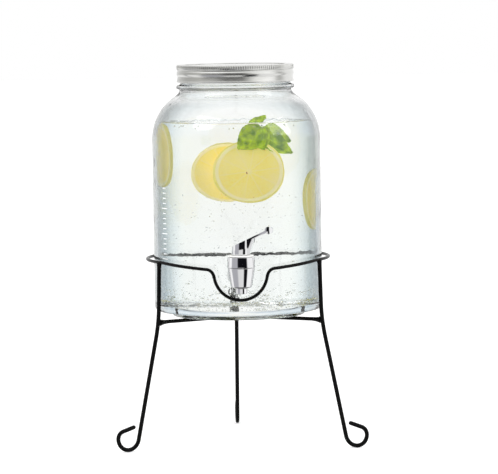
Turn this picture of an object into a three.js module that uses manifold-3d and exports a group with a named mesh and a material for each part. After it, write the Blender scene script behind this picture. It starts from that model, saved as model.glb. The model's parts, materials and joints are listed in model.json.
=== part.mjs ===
// A glass beverage dispenser: a jar with a screw lid and a lever spigot, standing in a wire stand.
// Millimetres, +Z up. The jar's axis is x = 0, y = 0, and the spigot faces -Y.

import * as THREE from 'three';
import { mergeVertices } from 'three/addons/utils/BufferGeometryUtils.js';
import Module from 'manifold-3d';

const wasm = await Module();
wasm.setup();

// ---- Driving dimensions ----------------------------------------------------------------------

const GAP = 0.3;                    // clearance between pieces that touch in the real object
const DEGREE = Math.PI / 180;

// Jar
const jarRadius = 84;               // outside of the straight wall
const jarWall = 4;
const jarFloor = 7;                 // glass under the drink, above the plane the jar stands on
const jarBaseZ = 128;               // the plane the jar stands on, above the floor
const baseRingRadius = 66;          // the foot ring that touches the stand
const baseRingHeight = 5;
const heelRadius = 6;               // rounding from the foot ring's step to the wall
const pushUp = 2;                   // how far the base is domed up inside the foot ring
const straightTopZ = 304;           // where the wall ends and the shoulder begins
const shoulderRadius = 51;
const neckRadius = 56;
const neckHeight = 4;               // plain neck between the shoulder and the collar
const collarRadius = 59;            // glass bead under the lid
const collarHeight = 5;
const finishRadius = 55;            // root of the screw thread
const threadHeight = 1.6;
const threadPitch = 5.5;
const threadTurns = 1.25;
const lipZ = 375;                   // top of the glass
const jarSides = 48;

// Lid: a gasket and a disc on the lip, held down by a screw band
const bandRadius = 58.3;            // over the knurled edge
const bandWall = 1;
const bandBead = 0.7;               // how far the beads swell past the grooves
const bandTopZ = 378;
const bandBottomZ = 360.6;
const knurlHeight = 5.4;
const beadHeight = 5.8;
const flangeWidth = 7.5;            // band's turned-in top edge
const discThickness = 0.6;
const discPanelRise = 0.6;
const discPanelRadius = 46;
const gasketThickness = 0.8;
const lidSides = 40;

// Stand
const ringRadius = 90.7;            // centreline of the ring
const ringZ = 185;
const ringWire = 1.6;               // radius of the ring's wire
const legWire = 2.1;                // radius of the legs' wire
const spokeWire = 1.9;
const dipHalfWidth = 26;            // the ring dips under the spigot
const dipBottomZ = 150.5;
const dipFillet = 8;
const legTopRadius = 91.4;          // where a leg meets the ring
const legBendRadius = 92.8;         // where a leg meets its spoke and starts to flare
const footRadius = 129.5;           // centre of a foot's curl
const curlRadius = 11.6;
const curlTopRadius = 7.4;          // the tighter bend over the top of the curl
const curlTail = 12.5;              // straight end of the wire
const curlTailAngle = 75;           // where the top bend ends, in degrees
const frontLegAngle = 60;           // from the spigot's direction to each front leg
const spokeHubRadius = 5;
const spokeHubHeight = 3.4;

// Spigot
const spigotReach = 26;             // from the jar's wall to the spigot's vertical axis
const shankZ = 175;
const shankRadius = 7.8;
const shankBore = 4.6;
const flangeRadius = 12;
const flangeThickness = 2;
const washerRadius = 12.2;
const washerThickness = 3;
const nutAcrossFlats = 22;
const nutThickness = 8;
const shankEnd = 2.2;               // shank past the nut
const bodyTopZ = 184;
const bodyTopRadius = 13.5;
const bodyBottomZ = 164.6;
const bodyBottomRadius = 10.4;
const nozzleRadius = 5.6;
const nozzleBore = 4;
const nozzleBottomZ = 158.6;
const chamberRadius = 8.2;
const seatZ = 167;
const bonnetHeight = 10.4;
const bonnetTopRadius = 13;
const bonnetPlug = 4.5;             // how far the bonnet screws down into the body
const springPocketRadius = 6.7;
const bonnetCrown = 3.4;            // metal above the spring pocket
const spigotSides = 24;

// Valve and lever
const stemRadius = 2.6;
const pinRadius = 1.25;
const stemAbovePin = 2.8;
const plugRadius = 6.4;
const plugHeight = 5.4;
const plugSocket = 3.6;
const springRadius = 5.5;
const springWire = 0.5;
const springTurns = 5;
const camWasherRadius = 12.4;
const camWasherThickness = 1.2;
const leverYaw = -12;               // where the lever points at rest, in degrees from +X
const leverTravel = 40;             // how far the lever tips down, in degrees
const valveLift = 4;                // how far that lifts the stem
const camHeight = 3.5;              // from the pin to the cam's flat underside
const hubRadius = 8.8;
const hubTopHeight = 4.2;           // above the pin, at the hub's back
const bladeRise = 25.5;             // slope of the blade, in degrees
const bladeThickness = 2.3;
const gussetReach = 13.8;
const tipReach = 28.2;              // from the pin to the centre of the rounded tip
const tipRadius = 3.6;
const paddleHalfWidth = 6.4;
const bladeHalfWidth = 4.6;

// ---- Places that follow from the sizes above -------------------------------------------------

const jarInside = jarRadius - jarWall;
const innerFloorZ = jarBaseZ + jarFloor;
const shoulderCentre = jarRadius - shoulderRadius;
const shoulderTopZ = straightTopZ + heightOnArc(shoulderRadius, neckRadius - shoulderCentre);
const collarZ = shoulderTopZ + neckHeight;
const finishBottomZ = collarZ + collarHeight;
const mouthRadius = neckRadius - jarWall;
const threadCrest = finishRadius + threadHeight;
const bandInside = bandRadius - bandWall;

const spokeZ = jarBaseZ - GAP - spokeWire;
const curlStep = 15 * DEGREE;       // one flat of the curl; the lowest flat is level
const curlCentreZ = (curlRadius + legWire) * Math.cos(curlStep / 2);

const spigotY = -(jarRadius + spigotReach);
const glassFrontY = -jarRadius;
const glassBackY = -flatInside(jarInside, washerRadius, jarSides);
const bonnetTopZ = bodyTopZ + GAP + bonnetHeight;
const springTopZ = bonnetTopZ - bonnetCrown - GAP;
const camWasherZ = bonnetTopZ + GAP;
const pinZ = camWasherZ + camWasherThickness + GAP + camHeight;
const plugZ = seatZ + GAP;
const stemBottomZ = plugZ + plugHeight - plugSocket + GAP;
const camGrowth = valveLift / (leverTravel * DEGREE);    // lift for each radian of tilt

function heightOnArc(radius, across) {
  return Math.sqrt(radius * radius - across * across);
}

// How far out a flat part of this half-width can go inside a round wall made of flat sides.
function flatInside(radius, halfWidth, sides) {
  return heightOnArc(radius * Math.cos(Math.PI / sides), halfWidth) - GAP;
}

// ---- Materials -------------------------------------------------------------------------------

function material(color, roughness, metalness, opacity = 1) {
  return new THREE.MeshStandardMaterial({
    color, roughness, metalness, opacity, transparent: opacity < 1,
  });
}

const looks = {
  glass: material(0xe6efee, 0.05, 0, 0.35),
  steel: material(0xbfc0bf, 0.3, 1),
  chrome: material(0xd8d8dc, 0.08, 1),
  wire: material(0x14161a, 0.25, 0.7),
  rubber: material(0xe9e9e6, 0.6, 0),
  nylon: material(0xf2f2ee, 0.45, 0),
};

// ---- Shape helpers ---------------------------------------------------------------------------

const at = (x, y) => new THREE.Vector2(x, y);

// Points on an arc, from one angle to another, both in degrees.
function arc(centreX, centreY, radius, from, to, steps) {
  const points = [];
  for (let i = 0; i <= steps; i += 1) {
    const angle = (from + ((to - from) * i) / steps) * DEGREE;
    points.push(at(centreX + radius * Math.cos(angle), centreY + radius * Math.sin(angle)));
  }
  return points;
}

// A solid of revolution about +Z. The outline's points are (radius, z), anticlockwise.
function turned(outline, sides) {
  return new THREE.LatheGeometry(outline, sides).rotateX(Math.PI / 2);
}

// The outline of a plain tube or ring, for turned().
function tubeOutline(inner, outer, bottom, top) {
  return [at(inner, bottom), at(outer, bottom), at(outer, top), at(inner, top), at(inner, bottom)];
}

// An outline in the XZ plane, extruded to this half-width either side of it along Y.
function slab(outline, halfWidth) {
  const shape = new THREE.Shape(outline);
  const geometry = new THREE.ExtrudeGeometry(shape, { depth: 2 * halfWidth, bevelEnabled: false });
  return geometry.rotateX(Math.PI / 2).translate(0, halfWidth, 0);
}

// A round bar along Y.
function bar(radius, fromY, toY, sides) {
  const length = Math.abs(toY - fromY);
  return new THREE.CylinderGeometry(radius, radius, length, sides).translate(0, (fromY + toY) / 2, 0);
}

// A curve that has one section at each of its points, so the points can be close only in bends.
class Stations extends THREE.Curve {
  constructor(points) {
    super();
    this.points = points;
  }

  getPoint(t, target = new THREE.Vector3()) {
    const last = this.points.length - 1;
    const place = Math.min(Math.max(t, 0), 1) * last;
    const index = Math.min(Math.floor(place), last - 1);
    return target.lerpVectors(this.points[index], this.points[index + 1], place - index);
  }

  getUtoTmapping(u) {
    return u;
  }
}

// A wire with flat-sided section along the points. Its flats lie at the wire's radius.
function wire(points, radius, sides) {
  const corner = radius / Math.cos(Math.PI / sides);
  const section = [];
  for (let i = 0; i < sides; i += 1) {
    const angle = ((i + 0.5) / sides) * 2 * Math.PI;
    section.push(at(corner * Math.cos(angle), corner * Math.sin(angle)));
  }
  return new THREE.ExtrudeGeometry(new THREE.Shape(section), {
    steps: points.length - 1,
    extrudePath: new Stations(points),
    bevelEnabled: false,
  });
}

function solid(geometry) {
  const plain = geometry.clone();
  plain.deleteAttribute('normal');
  plain.deleteAttribute('uv');
  const merged = mergeVertices(plain, 1e-3);
  return new wasm.Manifold(new wasm.Mesh({
    numProp: 3,
    vertProperties: new Float32Array(merged.attributes.position.array),
    triVerts: new Uint32Array(merged.index.array),
  }));
}

function geometryOf(manifold) {
  const mesh = manifold.getMesh();
  const geometry = new THREE.BufferGeometry();
  geometry.setAttribute('position', new THREE.BufferAttribute(mesh.vertProperties, 3));
  geometry.setIndex(new THREE.BufferAttribute(mesh.triVerts, 1));
  return geometry;
}

function cut(geometry, ...tools) {
  let result = solid(geometry);
  for (const tool of tools) {
    result = result.subtract(solid(tool));
  }
  return geometryOf(result);
}

function join(geometry, ...others) {
  let result = solid(geometry);
  for (const other of others) {
    result = result.add(solid(other));
  }
  return geometryOf(result);
}

function part(name, geometry, look) {
  const mesh = new THREE.Mesh(geometry, look);
  mesh.name = name;
  return mesh;
}

// ---- Jar -------------------------------------------------------------------------------------

function jarOutline() {
  const footTopZ = jarBaseZ + baseRingHeight;
  const neckArcTop = Math.acos((neckRadius - shoulderCentre) / shoulderRadius) / DEGREE;
  const innerShoulder = shoulderRadius - jarWall;
  const innerArcTop = Math.acos((mouthRadius - shoulderCentre) / innerShoulder) / DEGREE;
  const innerHeel = heelRadius + jarWall / 2;
  const halfCollar = collarHeight / 2;
  return [
    at(0, jarBaseZ + pushUp),
    at(baseRingRadius - 10, jarBaseZ + pushUp),
    at(baseRingRadius - 4, jarBaseZ),
    at(baseRingRadius, jarBaseZ),
    at(baseRingRadius + 1.5, footTopZ),
    ...arc(jarRadius - heelRadius, footTopZ + heelRadius, heelRadius, -90, 0, 3),
    ...arc(shoulderCentre, straightTopZ, shoulderRadius, 0, neckArcTop, 6),
    at(neckRadius, collarZ),
    at(collarRadius, collarZ + 0.3 * halfCollar),
    at(collarRadius, finishBottomZ - 0.3 * halfCollar),
    at(finishRadius, finishBottomZ),
    at(finishRadius, lipZ - 0.6),
    at(finishRadius - 0.6, lipZ),
    at(mouthRadius + 0.6, lipZ),
    at(mouthRadius, lipZ - 0.6),
    ...arc(shoulderCentre, straightTopZ, innerShoulder, innerArcTop, 0, 6),
    ...arc(jarInside - innerHeel, innerFloorZ + innerHeel, innerHeel, 0, -90, 3),
    at(0, innerFloorZ),
  ];
}

// A single-start screw thread, as a ridge wound round the finish and sunk a little into it.
function jarThread() {
  const stepsPerTurn = 24;
  const sunk = 0.8;
  const ridge = [
    at(-sunk, -1.3),
    at(threadHeight, -0.6),
    at(threadHeight, 0.6),
    at(-sunk, 1.3),
  ];
  const bottomZ = finishBottomZ + 2.4;
  const positions = [];
  const triangles = [];
  const steps = Math.round(stepsPerTurn * threadTurns);
  for (let i = 0; i <= steps; i += 1) {
    const angle = (i / stepsPerTurn) * 2 * Math.PI;
    for (const corner of ridge) {
      const radius = finishRadius + corner.x;
      const z = bottomZ + (threadPitch * i) / stepsPerTurn + corner.y;
      positions.push(radius * Math.cos(angle), radius * Math.sin(angle), z);
    }
  }
  const count = ridge.length;
  for (let i = 0; i < steps; i += 1) {
    for (let j = 0; j < count; j += 1) {
      const here = i * count + j;
      const next = i * count + ((j + 1) % count);
      triangles.push(here, here + count, next, next, here + count, next + count);
    }
  }
  const last = steps * count;
  triangles.push(0, 1, 2, 0, 2, 3, last, last + 2, last + 1, last, last + 3, last + 2);
  const geometry = new THREE.BufferGeometry();
  geometry.setAttribute('position', new THREE.Float32BufferAttribute(positions, 3));
  geometry.setIndex(triangles);
  return geometry;
}

function jar() {
  const glass = join(turned(jarOutline(), jarSides), jarThread());
  const hole = bar(shankRadius + GAP, -(jarRadius + 5), -(jarInside - 5), spigotSides);
  return part('jar', cut(glass, hole.translate(0, 0, shankZ)), looks.glass);
}

// ---- Lid -------------------------------------------------------------------------------------

function lidGasket() {
  const bottom = lipZ + GAP;
  const outline = tubeOutline(mouthRadius, finishRadius + 0.8, bottom, bottom + gasketThickness);
  return part('lid_gasket', turned(outline, lidSides), looks.rubber);
}

function lidDisc() {
  const bottom = lipZ + 2 * GAP + gasketThickness;
  const edge = bandInside - 0.6;
  const outline = [
    at(0, bottom + discPanelRise),
    at(discPanelRadius - 1, bottom + discPanelRise),
    at(discPanelRadius, bottom),
    at(edge, bottom),
    at(edge, bottom + discThickness),
    at(discPanelRadius, bottom + discThickness),
    at(discPanelRadius - 1, bottom + discThickness + discPanelRise),
    at(0, bottom + discThickness + discPanelRise),
  ];
  return part('lid_disc', turned(outline, lidSides), looks.steel);
}

// The screw band: a knurled edge, a bead, a groove and a rolled rim, with a turned-in top.
function lidBand() {
  const flangeBottom = lipZ + 3 * GAP + gasketThickness + discThickness;
  const grooveRadius = bandRadius - bandBead;
  const knurlBottom = bandTopZ - knurlHeight;
  const beadTop = knurlBottom - 0.5;
  const beadBottom = beadTop - beadHeight;
  const rimTop = beadBottom - 0.6;
  const outline = [
    at(bandInside, bandBottomZ),
    at(bandRadius - 0.1, bandBottomZ),
    at(bandRadius + 0.5, bandBottomZ + 0.8),
    at(bandRadius + 0.5, bandBottomZ + 1.8),
    at(grooveRadius + 0.2, rimTop),
    at(grooveRadius, beadBottom),
    at(bandRadius - 0.1, beadBottom + 0.3 * beadHeight),
    at(bandRadius - 0.1, beadTop - 0.3 * beadHeight),
    at(grooveRadius, beadTop),
    at(grooveRadius, knurlBottom),
    at(bandRadius, knurlBottom + 0.6),
    at(bandRadius, bandTopZ - 0.8),
    at(bandRadius - 0.8, bandTopZ),
    at(bandInside - flangeWidth, bandTopZ),
    at(bandInside - flangeWidth, flangeBottom),
    at(bandInside, flangeBottom),
    at(bandInside, bandBottomZ),
  ];
  return part('lid_band', turned(outline, lidSides), looks.steel);
}

// ---- Stand -----------------------------------------------------------------------------------

// The ring unrolled flat: points of (distance round the ring, z), with the dip in the middle.
function ringUnrolled() {
  const halfTurn = Math.PI * ringRadius - GAP;
  const shoulder = dipHalfWidth + dipFillet;
  const bendZ = ringZ - dipFillet;
  const bowlZ = dipBottomZ + dipHalfWidth;
  const plainSteps = 26;
  const left = [];
  for (let i = 0; i < plainSteps; i += 1) {
    left.push(at(-halfTurn + ((halfTurn - shoulder) * i) / plainSteps, ringZ));
  }
  left.push(...arc(-shoulder, bendZ, dipFillet, 90, 0, 5));
  const bowl = arc(0, bowlZ, dipHalfWidth, 180, 360, 14).slice(1, -1);
  const right = left.map((point) => at(-point.x, point.y)).reverse();
  return [...left, ...bowl, ...right];
}

// The ring is one wire whose ends meet behind the jar, where the back leg is welded on.
function standRing() {
  const points = ringUnrolled().map((flat) => {
    const angle = flat.x / ringRadius;
    return new THREE.Vector3(
      ringRadius * Math.sin(angle), -ringRadius * Math.cos(angle), flat.y,
    );
  });
  return part('stand_ring', wire(points, ringWire, 8), looks.wire);
}

// A leg's points of (radius, z): down from the ring, flared from the spoke, curled at the foot.
function legLine() {
  const toFoot = at(footRadius - legBendRadius, spokeZ - curlCentreZ);
  const towards = Math.atan2(toFoot.x, toFoot.y);
  const flare = (towards - Math.asin(curlRadius / toFoot.length())) / DEGREE;
  const step = curlStep / DEGREE;
  const firstFlat = 270 - step / 2 - 5 * step;
  const curl = arc(footRadius, curlCentreZ, curlRadius, firstFlat, 360 - step / 2, 11);
  const topCentre = footRadius + curlRadius - curlTopRadius;
  const top = arc(topCentre, curlCentreZ, curlTopRadius, 5, curlTailAngle, 5);
  const end = top[top.length - 1];
  const tailAngle = (curlTailAngle + 90) * DEGREE;
  const tail = at(Math.cos(tailAngle), Math.sin(tailAngle)).multiplyScalar(curlTail).add(end);
  const entry = arc(footRadius, curlCentreZ, curlRadius, 180 + flare, 180 + flare, 1)[0];
  return [
    at(legTopRadius, ringZ - ringWire - GAP),
    at(legBendRadius, spokeZ + 6),
    at(legBendRadius + 0.4, spokeZ - 4),
    at(legBendRadius + 2.2, spokeZ - 15),
    entry,
    ...curl,
    ...top,
    tail,
  ];
}

function leg(name, angle) {
  const points = legLine().map((point) => new THREE.Vector3(point.x, 0, point.y));
  const mesh = part(name, wire(points, legWire, 8), looks.wire);
  mesh.rotation.z = (angle - 90) * DEGREE;
  return mesh;
}

function spoke(name, angle) {
  const inner = spokeHubRadius + GAP;
  const outer = legBendRadius - legWire - GAP;
  const ends = [new THREE.Vector3(inner, 0, spokeZ), new THREE.Vector3(outer, 0, spokeZ)];
  const mesh = part(name, wire(ends, spokeWire, 8), looks.wire);
  mesh.rotation.z = (angle - 90) * DEGREE;
  return mesh;
}

function spokeHub() {
  const bottom = spokeZ - spokeHubHeight / 2;
  const outline = [
    at(0, bottom),
    at(spokeHubRadius - 0.8, bottom),
    at(spokeHubRadius, bottom + 0.8),
    at(spokeHubRadius, bottom + spokeHubHeight - 0.8),
    at(spokeHubRadius - 0.8, bottom + spokeHubHeight),
    at(0, bottom + spokeHubHeight),
  ];
  return part('spoke_hub', turned(outline, 16), looks.wire);
}

function stand() {
  const group = new THREE.Group();
  const legs = { left: -frontLegAngle, right: frontLegAngle, back: 180 };
  group.add(standRing(), spokeHub());
  for (const [side, angle] of Object.entries(legs)) {
    group.add(leg(`leg_${side}`, angle), spoke(`spoke_${side}`, angle));
  }
  return group;
}

// ---- Spigot: fixed pieces --------------------------------------------------------------------

function outerWasher() {
  const front = glassFrontY - GAP - washerThickness;
  const washer = cut(
    bar(washerRadius, front, front + washerThickness, spigotSides),
    bar(shankRadius + GAP, front - 1, front + washerThickness + 1, spigotSides),
  );
  return part('outer_washer', washer.translate(0, 0, shankZ), looks.rubber);
}

function innerWasher() {
  const washer = cut(
    bar(washerRadius, glassBackY, glassBackY + washerThickness, spigotSides),
    bar(shankRadius + GAP, glassBackY - 1, glassBackY + washerThickness + 1, spigotSides),
  );
  return part('inner_washer', washer.translate(0, 0, shankZ), looks.rubber);
}

const nutFrontY = glassBackY + washerThickness + GAP;
const nutBackY = nutFrontY + nutThickness;

function shankNut() {
  const corner = nutAcrossFlats / 2 / Math.cos(Math.PI / 6);
  const nut = cut(
    bar(corner, nutFrontY, nutBackY, 6),
    bar(shankRadius + GAP, nutFrontY - 1, nutBackY + 1, spigotSides),
  );
  return part('shank_nut', nut.translate(0, 0, shankZ), looks.nylon);
}

// The cast body: a tapered cup with a nozzle below and a hollow threaded shank behind.
function spigotBody() {
  const cup = turned([
    at(0, nozzleBottomZ),
    at(nozzleRadius, nozzleBottomZ),
    at(nozzleRadius, bodyBottomZ - 0.6),
    at(bodyBottomRadius - 1.2, bodyBottomZ),
    at(bodyBottomRadius, bodyBottomZ + 1.2),
    at(bodyTopRadius, bodyTopZ),
    at(0, bodyTopZ),
  ], spigotSides).translate(0, spigotY, 0);
  const shank = bar(shankRadius, spigotY, nutBackY + shankEnd, spigotSides).translate(0, 0, shankZ);
  const flangeBack = glassFrontY - 2 * GAP - washerThickness;
  const flange = bar(flangeRadius, flangeBack - flangeThickness, flangeBack, spigotSides);
  const chamber = turned([
    at(0, nozzleBottomZ - 1),
    at(nozzleBore, nozzleBottomZ - 1),
    at(nozzleBore, seatZ - 1),
    at(nozzleBore + 1, seatZ),
    at(chamberRadius, seatZ),
    at(chamberRadius, bodyTopZ + 1),
    at(0, bodyTopZ + 1),
  ], spigotSides).translate(0, spigotY, 0);
  const bore = bar(shankBore, spigotY, nutBackY + shankEnd + 1, spigotSides);
  const outside = join(cup, shank, flange.translate(0, 0, shankZ));
  return part('spigot_body', cut(outside, chamber, bore.translate(0, 0, shankZ)), looks.chrome);
}

// The bonnet screws into the body, holds the spring's top and guides the stem.
function bonnet() {
  const seat = bodyTopZ + GAP;
  const plugBottom = seat - bonnetPlug;
  const pocketTop = bonnetTopZ - bonnetCrown;
  const outline = [
    at(springPocketRadius, plugBottom),
    at(chamberRadius - GAP, plugBottom),
    at(chamberRadius - GAP, seat),
    at(bodyTopRadius + 0.2, seat),
    at(bonnetTopRadius + 0.1, bonnetTopZ - 0.6),
    at(bonnetTopRadius - 0.6, bonnetTopZ),
    at(stemRadius + GAP, bonnetTopZ),
    at(stemRadius + GAP, pocketTop),
    at(springPocketRadius, pocketTop),
    at(springPocketRadius, plugBottom),
  ];
  return part('bonnet', turned(outline, spigotSides).translate(0, spigotY, 0), looks.chrome);
}

// ---- Valve -----------------------------------------------------------------------------------

function returnSpring() {
  const sections = 14;
  const bottom = plugZ + plugHeight + GAP + springWire;
  const top = springTopZ - springWire;
  const points = [];
  for (let i = 0; i <= springTurns * sections; i += 1) {
    const share = i / (springTurns * sections);
    const angle = 2 * Math.PI * springTurns * share;
    points.push(new THREE.Vector3(
      springRadius * Math.cos(angle), springRadius * Math.sin(angle), bottom + (top - bottom) * share,
    ));
  }
  return part('return_spring', wire(points, springWire, 5), looks.steel);
}

function seatPlug() {
  const top = plugZ + plugHeight;
  const outline = [
    at(0, plugZ),
    at(plugRadius - 0.8, plugZ),
    at(plugRadius, plugZ + 0.8),
    at(plugRadius, top),
    at(stemRadius + GAP, top),
    at(stemRadius + GAP, top - plugSocket),
    at(0, top - plugSocket),
  ];
  return part('seat_plug', turned(outline, spigotSides), looks.rubber);
}

function stem() {
  const top = pinZ + stemAbovePin;
  const rod = turned([
    at(0, stemBottomZ),
    at(stemRadius, stemBottomZ),
    at(stemRadius, top - 1),
    at(stemRadius - 1, top),
    at(0, top),
  ], 16);
  const crossHole = bar(pinRadius + GAP, -5, 5, 12).translate(0, 0, pinZ);
  return part('stem', cut(rod, crossHole), looks.steel);
}

function leverPin() {
  const half = hubRadius - 1.2;
  return part('lever_pin', bar(pinRadius, -half, half, 12).translate(0, 0, pinZ), looks.chrome);
}

function camWasher() {
  const top = camWasherZ + camWasherThickness;
  const outline = tubeOutline(stemRadius + GAP, camWasherRadius, camWasherZ, top);
  return part('cam_washer', turned(outline, spigotSides), looks.nylon);
}

// ---- Lever -----------------------------------------------------------------------------------

// The cam under the hub. It is the involute that lifts the pin evenly as the lever tips.
function camOutline() {
  const points = [];
  const steps = 6;
  for (let i = 0; i <= steps; i += 1) {
    const tilt = (leverTravel * DEGREE * i) / steps;
    const height = camHeight + camGrowth * tilt;
    points.push(at(
      height * Math.sin(tilt) + camGrowth * Math.cos(tilt),
      -height * Math.cos(tilt) + camGrowth * Math.sin(tilt),
    ));
  }
  return points;
}

// The lever seen from its side, with the pin at the origin.
function leverSide() {
  const slope = Math.tan(bladeRise * DEGREE);
  const drop = bladeThickness / Math.cos(bladeRise * DEGREE);
  const bladeTop = (x) => hubTopHeight + (x + hubRadius) * slope;
  const tipZ = bladeTop(tipReach) - drop / 2 - 0.2;
  return [
    at(-hubRadius, -camHeight),
    ...camOutline(),
    at(gussetReach, bladeTop(gussetReach) - drop),
    ...arc(tipReach, tipZ, tipRadius, bladeRise - 160, bladeRise + 160, 10),
    at(-hubRadius, hubTopHeight),
  ];
}

// The lever seen from above: a round hub, a waisted blade and a round paddle.
function leverPlan() {
  const paddleCentre = tipReach + tipRadius - paddleHalfWidth;
  return [
    ...arc(0, 0, hubRadius, 40, 320, 16),
    at(gussetReach, -bladeHalfWidth),
    ...arc(paddleCentre, 0, paddleHalfWidth, -80, 80, 10),
    at(gussetReach, bladeHalfWidth),
  ];
}

// Room in the hub for the stem, from upright to the lever's full travel.
function stemSlot() {
  const half = stemRadius + GAP;
  const deep = 12;
  const travel = leverTravel * DEGREE;
  const sideX = Math.cos(travel);
  const sideZ = Math.sin(travel);
  const wedge = [
    at(-half, 0),
    at(-half, -deep),
    at(0, -deep),
    at(deep * sideZ, -deep * sideX),
    at(deep * sideZ + half * sideX, -deep * sideX + half * sideZ),
    at(half * sideX, half * sideZ),
  ];
  const above = new THREE.CylinderGeometry(1, 1, 2 * half, 16);
  const reach = Math.hypot(stemAbovePin, stemRadius - 1) + GAP;
  return [slab(wedge, half), above.scale(reach, 1, reach)];
}

function lever() {
  const side = solid(slab(leverSide(), hubRadius + 1));
  const planShape = new THREE.Shape(leverPlan());
  const plan = new THREE.ExtrudeGeometry(planShape, { depth: 60, bevelEnabled: false });
  const blank = geometryOf(side.intersect(solid(plan.translate(0, 0, -20))));
  const pinHole = bar(pinRadius + GAP, -hubRadius - 2, hubRadius + 2, 12);
  const body = cut(blank, ...stemSlot(), pinHole);
  return part('lever', body.translate(0, 0, pinZ), looks.chrome);
}

function valve() {
  const group = new THREE.Group();
  group.position.y = spigotY;
  group.rotation.z = leverYaw * DEGREE;
  group.add(camWasher(), stem(), leverPin(), seatPlug(), returnSpring(), lever());
  return group;
}

// ---- Assembly --------------------------------------------------------------------------------

const dispenser = new THREE.Group();
dispenser.add(
  stand(),
  jar(),
  lidGasket(),
  lidDisc(),
  lidBand(),
  outerWasher(),
  innerWasher(),
  shankNut(),
  spigotBody(),
  bonnet(),
  valve(),
);

// The origin is the middle of the base of the whole object's box.
dispenser.updateMatrixWorld(true);
const box = new THREE.Box3().setFromObject(dispenser, true);
const middle = box.getCenter(new THREE.Vector3());
const group = new THREE.Group();
dispenser.position.set(-middle.x, -middle.y, -box.min.z);
group.add(dispenser);
group.updateMatrixWorld(true);

export default group;
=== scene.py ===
"""The looks of a glass beverage dispenser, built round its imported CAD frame. Lengths are metres."""

import json
import math
import random

import bmesh
import bpy
from mathutils import Matrix, Vector


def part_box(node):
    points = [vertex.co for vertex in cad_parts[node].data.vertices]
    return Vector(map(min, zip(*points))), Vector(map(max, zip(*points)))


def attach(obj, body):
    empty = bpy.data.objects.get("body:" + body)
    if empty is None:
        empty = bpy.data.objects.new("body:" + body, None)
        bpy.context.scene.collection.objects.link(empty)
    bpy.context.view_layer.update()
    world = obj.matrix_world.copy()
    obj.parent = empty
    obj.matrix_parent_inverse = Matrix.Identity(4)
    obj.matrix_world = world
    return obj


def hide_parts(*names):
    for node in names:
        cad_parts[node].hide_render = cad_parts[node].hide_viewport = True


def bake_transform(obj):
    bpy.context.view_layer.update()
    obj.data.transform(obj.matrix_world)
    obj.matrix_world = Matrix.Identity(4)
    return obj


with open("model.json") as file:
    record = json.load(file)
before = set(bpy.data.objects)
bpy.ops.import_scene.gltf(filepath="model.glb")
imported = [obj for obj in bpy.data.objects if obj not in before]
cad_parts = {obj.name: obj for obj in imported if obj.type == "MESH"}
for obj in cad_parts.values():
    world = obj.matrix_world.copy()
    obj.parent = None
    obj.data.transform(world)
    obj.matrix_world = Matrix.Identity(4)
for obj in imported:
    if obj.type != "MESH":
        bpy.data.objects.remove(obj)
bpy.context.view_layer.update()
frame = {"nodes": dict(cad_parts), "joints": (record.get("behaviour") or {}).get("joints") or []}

MM = 0.001

# ---- Sizes read from the frame ----

jar_low, jar_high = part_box("jar")
AXIS_Y = (jar_low.y + jar_high.y) / 2
JAR_R = (jar_high.x - jar_low.x) / 2
BASE_Z = jar_low.z
LIP_Z = jar_high.z
band_low, band_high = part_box("lid_band")
bonnet_low, bonnet_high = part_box("bonnet")
SPIGOT_Y = (bonnet_low.y + bonnet_high.y) / 2
ring_low, ring_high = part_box("stand_ring")

# ---- Sizes that the frame's boxes don't give ----

WALL = 4 * MM
JAR_FLOOR = 7 * MM
STRAIGHT_TOP = BASE_Z + 176 * MM
SHOULDER_R = 51 * MM
NECK_R = 56 * MM
COLLAR_R = 59 * MM
WATER_Z = BASE_Z + 192.5 * MM
FRONT_LEG = 60                      # bearing of each front leg, in degrees from the front
MARKS_BEARING = -60
FIRST_MARK_Z = BASE_Z + 60 * MM
MARK_STEP = 5 * MM
RING_WIRE = 1.6 * MM
LEG_R = 2.1 * MM
SPOKE_R = 1.9 * MM
SHANK_R = 7.8 * MM
SHANK_BORE = 4.6 * MM
SHANK_CLEAR = 0.3 * MM              # round the shank in the glass and the washers
STEM_HOLE = 2.9 * MM
FLANGE_R = 12 * MM
BONNET_SEAT = 4.5 * MM              # thread below the bonnet's rim
SPRING_POCKET = 6.7 * MM


def axis_point(radius, angle, z):
    """A point at this radius and height, at an angle in degrees from the front, towards +X."""
    a = math.radians(angle)
    return Vector((radius * math.sin(a), AXIS_Y - radius * math.cos(a), z))


# ---- Mesh helpers ----

def shade_smooth(mesh, angle):
    """Smooth shading, with a sharp edge where faces meet at more than angle degrees."""
    for polygon in mesh.polygons:
        polygon.use_smooth = True
    mesh.set_sharp_from_angle(angle=math.radians(angle))


def new_object(name, mesh, material, smooth_angle=35):
    obj = bpy.data.objects.new(name, mesh)
    bpy.context.scene.collection.objects.link(obj)
    shade_smooth(mesh, smooth_angle)
    mesh.materials.append(material)
    return obj


def mesh_from(name, bm):
    bmesh.ops.recalc_face_normals(bm, faces=bm.faces)
    mesh = bpy.data.meshes.new(name)
    bm.to_mesh(mesh)
    bm.free()
    return mesh


def arc(centre_r, centre_z, radius, start, end, steps):
    """Points of (r, z) on an arc, with angles in degrees."""
    points = []
    for i in range(steps + 1):
        a = math.radians(start + (end - start) * i / steps)
        points.append((centre_r + radius * math.cos(a), centre_z + radius * math.sin(a)))
    return points


def curve(start, corner, end, steps):
    """Points of (r, z) on a smooth bend from start to end, pulled towards corner."""
    points = []
    for i in range(steps + 1):
        t = i / steps
        mid = Vector(start) * (1 - t) ** 2 + Vector(corner) * 2 * t * (1 - t) + Vector(end) * t ** 2
        points.append((mid.x, mid.y))
    return points


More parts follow.
